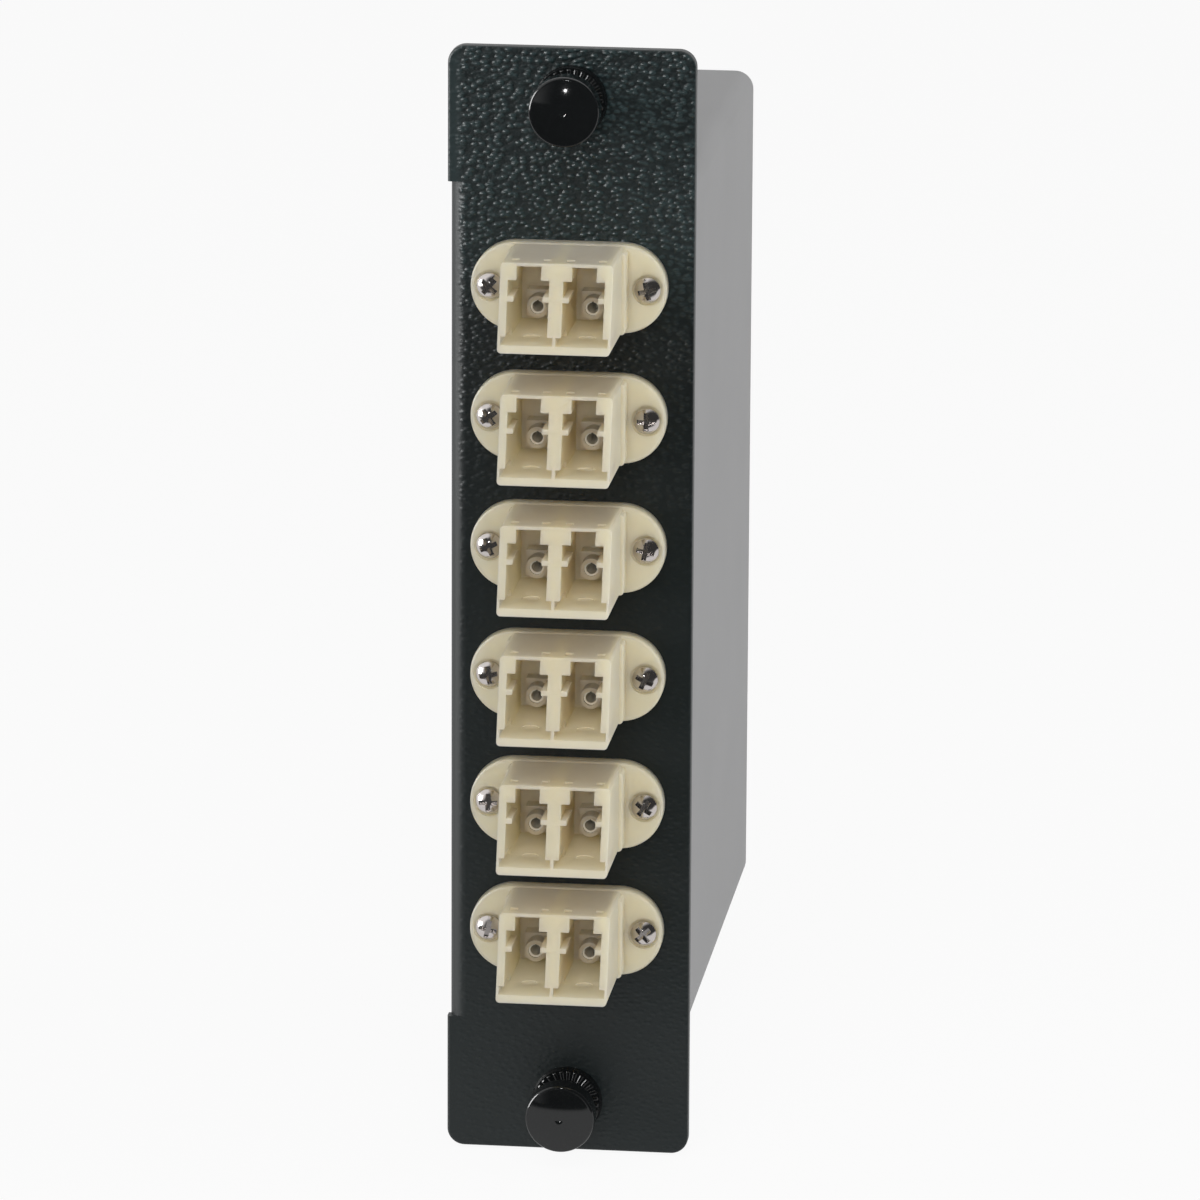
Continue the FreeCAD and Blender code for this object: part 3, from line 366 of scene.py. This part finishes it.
# %% Beige plastic
BEIGE = (0.87, 0.74, 0.51)
LIGHT_REACH = 5.0 * MM
LIGHT_TINT = (1.0, 0.9, 0.7)        # red light reaches farthest


def beige_plastic():
    material = mottled("beige_plastic", BEIGE, 0.42, cloud=0.03, grain=0.03, swing=0.08, per_metre=3000.0,
                       grain_height=0.006 * MM)
    shader = material.node_tree.nodes["Principled BSDF"]
    fill(shader, Subsurface_Weight=0.8, Subsurface_Radius=LIGHT_TINT, Subsurface_Scale=LIGHT_REACH)
    return material


beige = beige_plastic()
print("plastic:", beige.name)

# %% [markdown]
# ## Ribbed latches
#
# The latches are a shiny black nylon, and the flange of each grommet has low ribs that point to its middle.
# Ribs so low could be cut in the mesh, but a height worked out from the angle round the latch is enough.
# The two latches are mirror images, so the height above the middle is taken once, and serves both.

# %% Ribbed nylon
RIBS = 28
RIB_HEIGHT = 0.12 * MM
RIB_SIDES = (-0.2, 0.6)                     # of the wave, from the groove to the rib's top
RIBS_START = (2.6 * MM, 2.75 * MM)          # radius, fading in
RIBS_END = (3.75 * MM, 3.6 * MM)            # radius, fading out
latch_z = sum(corner.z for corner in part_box("upper_grommet")) / 2


def ribbed_nylon():
    material = mottled("grommet_nylon", (0.007, 0.008, 0.0085), 0.16, cloud=0.2, grain=0.1, swing=0.05)
    tree = material.node_tree
    place = place_of(tree)
    across = place["X"]
    above = combine(tree, "SUBTRACT", combine(tree, "ABSOLUTE", place["Z"]), latch_z)
    angle = combine(tree, "ARCTAN2", above, across)
    wave = combine(tree, "SINE", combine(tree, "MULTIPLY", angle, RIBS))
    squares = [combine(tree, "MULTIPLY", side, side) for side in (above, across)]
    radius = combine(tree, "SQRT", combine(tree, "ADD", *squares))
    band = combine(tree, "MULTIPLY", ramp(tree, radius, *RIBS_START), ramp(tree, radius, *RIBS_END))
    height = combine(tree, "MULTIPLY", ramp(tree, wave, *RIB_SIDES), band)
    bump(tree, tree.nodes["Principled BSDF"], height, 1.0, RIB_HEIGHT)
    return material


grommet_nylon = ribbed_nylon()
print("latches at plus and minus", round(latch_z / MM, 1), "mm")

# %% [markdown]
# ## The other finishes
#
# The knobs are glossier than the grommets, the rear adapter is a satin black plastic, the screws are bright
# nickel, the sleeves are a white ceramic and the fibre leads wear an aqua jacket. Each is one call.

# %% Plain finishes
gloss_black = mottled("latch_nylon", (0.006, 0.007, 0.0075), 0.09, cloud=0.2, grain=0.1, swing=0.03)
satin_black = mottled("black_plastic", (0.014, 0.014, 0.015), 0.4, cloud=0.15, grain=0.1)
nickel = mottled("nickel_plate", (0.60, 0.56, 0.54), 0.16, cloud=0.06, metallic=1.0, grain_height=0.004 * MM)
ceramic = mottled("zirconia", (0.92, 0.87, 0.75), 0.2, cloud=0.02, grain=0.02)
jacket = mottled("aqua_jacket", (0.03, 0.42, 0.46), 0.45, cloud=0.06, grain=0.06)
print("materials:", len(bpy.data.materials))

# %% [markdown]
# ## Which piece wears what
#
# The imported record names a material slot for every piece. Pieces could be dressed one by one, by name. One
# table from slot to finish dresses them all, so a piece that repeats, such as an adapter, is never missed.

# %% Dress the CAD pieces
by_slot = {"beige_plastic": beige, "plug_plastic": beige, "gloss_black_plastic": gloss_black,
           "black_plastic": satin_black, "screw_nickel": nickel, "zirconia": ceramic, "lead_jacket": jacket,
           "grey_paint": grey_paint, "black_paint": black_paint}
slot_of = {part["node"]: part["material_slot"] for part in frame["record"]["subparts"]}


def dress(piece, finish):
    piece.data.materials.clear()
    piece.data.materials.append(finish)


for name, piece in nodes.items():
    dress(piece, grommet_nylon if name.endswith("_grommet") else by_slot[slot_of[name]])
print("dressed", len(nodes), "pieces")

# %% [markdown]
# ## Softened moulded edges
#
# A mould can't make a knife edge: every edge of an adapter is rounded by a tenth of a millimetre or so, and
# that rounding is what catches the light. The CAD edges are sharp to keep the construction clear. Each
# adapter's front gets a copy, which the Bevel modifier rounds, and the copy stands for the CAD piece.

# %% Softened copies
EDGE_ROUND = 0.09 * MM
ROUND_FROM = math.radians(30)       # edges that turn by more than this are rounded
SHARP_FROM = math.radians(35)       # edges that still turn by more than this are shaded sharp
SAME_POINT = 0.0001 * MM
adapters = sorted(name for name in nodes if name.startswith("adapter_") and name.endswith("_front"))


def welded_copy(name):
    """The mesh of a CAD piece with its doubled corners joined."""
    mesh = nodes[name].data.copy()
    mesh.name = name + "_soft"
    work = bmesh.new()
    work.from_mesh(mesh)
    bmesh.ops.remove_doubles(work, verts=work.verts, dist=SAME_POINT)
    work.to_mesh(mesh)
    work.free()
    return mesh


def softened(name):
    """A copy of a CAD piece with its sharp edges rounded; it replaces that piece."""
    piece = bpy.data.objects.new(name + "_soft", welded_copy(name))
    bpy.context.scene.collection.objects.link(piece)
    bevel = piece.modifiers.new("round", "BEVEL")
    bevel.width, bevel.segments = EDGE_ROUND, 2
    bevel.limit_method, bevel.angle_limit = "ANGLE", ROUND_FROM
    bevel.use_clamp_overlap = True
    bevel.miter_outer = "MITER_ARC"
    shaped = bpy.data.meshes.new_from_object(piece.evaluated_get(bpy.context.evaluated_depsgraph_get()))
    piece.modifiers.clear()
    piece.data = shaped
    for polygon in shaped.polygons:
        polygon.use_smooth = True
    shaped.set_sharp_from_angle(angle=SHARP_FROM)
    dress(piece, by_slot[slot_of[name]])
    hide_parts(name)
    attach(piece, "case")
    return piece


soft_adapters = [softened(name) for name in adapters]
print("softened adapters, faces each:", [len(p.data.polygons) for p in soft_adapters])

# %% [markdown]
# ## Floor
#
# The object stands in a white sweep. Lamps could make it white by brute force, but they would burn out the
# pale plastic too. Instead the floor glows only for camera, glossy and transmitted rays, and is a plain
# pale floor for the rest. A little of the plain floor is left in what the camera sees, for the shadow. In
# reflections the table in front of the object is dark, as a room is, so that the black panel stays black.

# %% Floor
FLOOR_DROP = 0.4 * MM
FLOOR_REACH = 6.0
FLOOR_COLOUR = (0.82, 0.82, 0.82)
GLOW_SHARE = 0.93           # of what the camera sees
TABLE_FRONT = -0.06
TABLE_DEPTH = 0.06          # over which reflections go from dark to light
TABLE_DARK, TABLE_LIGHT = 0.06, 0.85


def seen_directly(tree):
    """The Light Path node, and a value that is 1 for camera and transmitted rays."""
    rays = add(tree, "ShaderNodeLightPath")
    return rays, combine(tree, "MAXIMUM", rays.outputs["Is Camera Ray"], rays.outputs["Is Transmission Ray"])


def white_floor():
    material, tree, shader = material_with("floor_white", FLOOR_COLOUR, specular=0.0)
    link = tree.links.new
    fill(shader, Roughness=0.9)
    glow = fill(add(tree, "ShaderNodeEmission"), Color=(1, 1, 1, 1))
    blend = add(tree, "ShaderNodeMixShader")
    rays, direct = seen_directly(tree)
    glossy = rays.outputs["Is Glossy Ray"]
    lit = ramp(tree, place_of(tree)["Y"], TABLE_FRONT - TABLE_DEPTH, TABLE_FRONT, TABLE_DARK, TABLE_LIGHT)
    dimmed = combine(tree, "MULTIPLY", glossy, combine(tree, "SUBTRACT", 1.0, lit))
    link(combine(tree, "SUBTRACT", 1.0, dimmed), glow.inputs["Strength"])
    share = combine(tree, "MAXIMUM", combine(tree, "MULTIPLY", direct, GLOW_SHARE), glossy)
    link(share, blend.inputs["Fac"])
    link(shader.outputs["BSDF"], blend.inputs[1])
    link(glow.outputs["Emission"], blend.inputs[2])
    link(blend.outputs["Shader"], tree.nodes["Material Output"].inputs["Surface"])
    return material


def lay_floor():
    z = cad_low[2] - FLOOR_DROP
    corners = [(x * FLOOR_REACH, y * FLOOR_REACH, z) for x, y in ((-1, -1), (1, -1), (1, 1), (-1, 1))]
    mesh = bpy.data.meshes.new("floor")
    mesh.from_pydata(corners, [], [(0, 1, 2, 3)])
    floor = bpy.data.objects.new("floor", mesh)
    bpy.context.scene.collection.objects.link(floor)
    dress(floor, white_floor())
    return z


print("floor at", round(lay_floor() / MM, 1), "mm")

# %% [markdown]
# ## World
#
# The world is white to the camera too, and a plain grey to diffuse rays, which is the ambient light. In
# reflections it is white behind and to the left of the object, and falls off to a dark room in front and to
# the right. An image of a studio would do the same, with more to load and less to understand.

# %% World
AMBIENT = 0.24
ROOM_EDGE = (-0.1, 0.7)     # from white to dark, by how far a direction points right and to the front
ROOM_DARK = 0.05


def white_world():
    world = bpy.data.worlds.new("white_world")
    bpy.context.scene.world = world
    world.use_nodes = True
    tree = world.node_tree
    tree.nodes.clear()
    rays, direct = seen_directly(tree)
    toward = add(tree, "ShaderNodeTexCoord")
    parts = add(tree, "ShaderNodeSeparateXYZ")
    tree.links.new(toward.outputs["Generated"], parts.inputs[0])
    frontward = combine(tree, "SUBTRACT", parts.outputs["X"], parts.outputs["Y"])
    room = ramp(tree, frontward, *ROOM_EDGE, 1.0, ROOM_DARK)
    above_ambient = combine(tree, "SUBTRACT", room, AMBIENT)
    extra = combine(tree, "MULTIPLY", above_ambient, rays.outputs["Is Glossy Ray"])
    level = combine(tree, "ADD", extra, AMBIENT)
    background = fill(add(tree, "ShaderNodeBackground"), Color=(1, 1, 1, 1))
    tree.links.new(combine(tree, "MAXIMUM", level, direct), background.inputs["Strength"])
    output = add(tree, "ShaderNodeOutputWorld")
    tree.links.new(background.outputs["Background"], output.inputs["Surface"])


white_world()
print("ambient level", AMBIENT)

# %% [markdown]
# ## Lamps
#
# A small lamp high in front makes the bright point on the upper knob. Three large soft ones, hidden from
# reflections, light the front, the tops and the right side. A strip at the left shows only in reflections,
# and draws the grey edge along the fold. One strong lamp could light it all, but its shadows would fill the
# ports.

# %% Lamps


def soft_lamp(name, where, size, power, tall=None, **seen):
    """A lamp that faces the panel's middle; with tall, a strip. seen can hide it from a kind of ray."""
    data = bpy.data.lights.new(name, "AREA")
    data.size, data.energy = size, power
    data.shape = "RECTANGLE" if tall else "DISK"
    if tall:
        data.size_y = tall
    lamp = bpy.data.objects.new(name, data)
    place = Vector(where)
    lamp.matrix_world = Matrix.Translation(place) @ place.to_track_quat("Z", "Y").to_matrix().to_4x4()
    for ray, shows in seen.items():
        setattr(lamp, "visible_" + ray, shows)
    bpy.context.scene.collection.objects.link(lamp)


soft_lamp("key", (-0.08, -1.0, 0.30), 0.035, 0.4)
soft_lamp("front", (0.10, -0.95, 0.20), 0.25, 1.5, glossy=False)
soft_lamp("top", (0.0, -0.62, 0.62), 0.8, 3.0, glossy=False)
soft_lamp("right", (1.0, 0.05, 0.25), 0.5, 2.9, glossy=False)
soft_lamp("left_strip", (-0.90, -0.30, 0.05), 0.6, 22.0, tall=0.8, diffuse=False)
print("lamps:", len(bpy.data.lights))

# %% [markdown]
# ## Finish
#
# Colours are shown as they are written, so the view transform is the plain one.

# %% Finish
bpy.context.scene.view_settings.view_transform = "Standard"
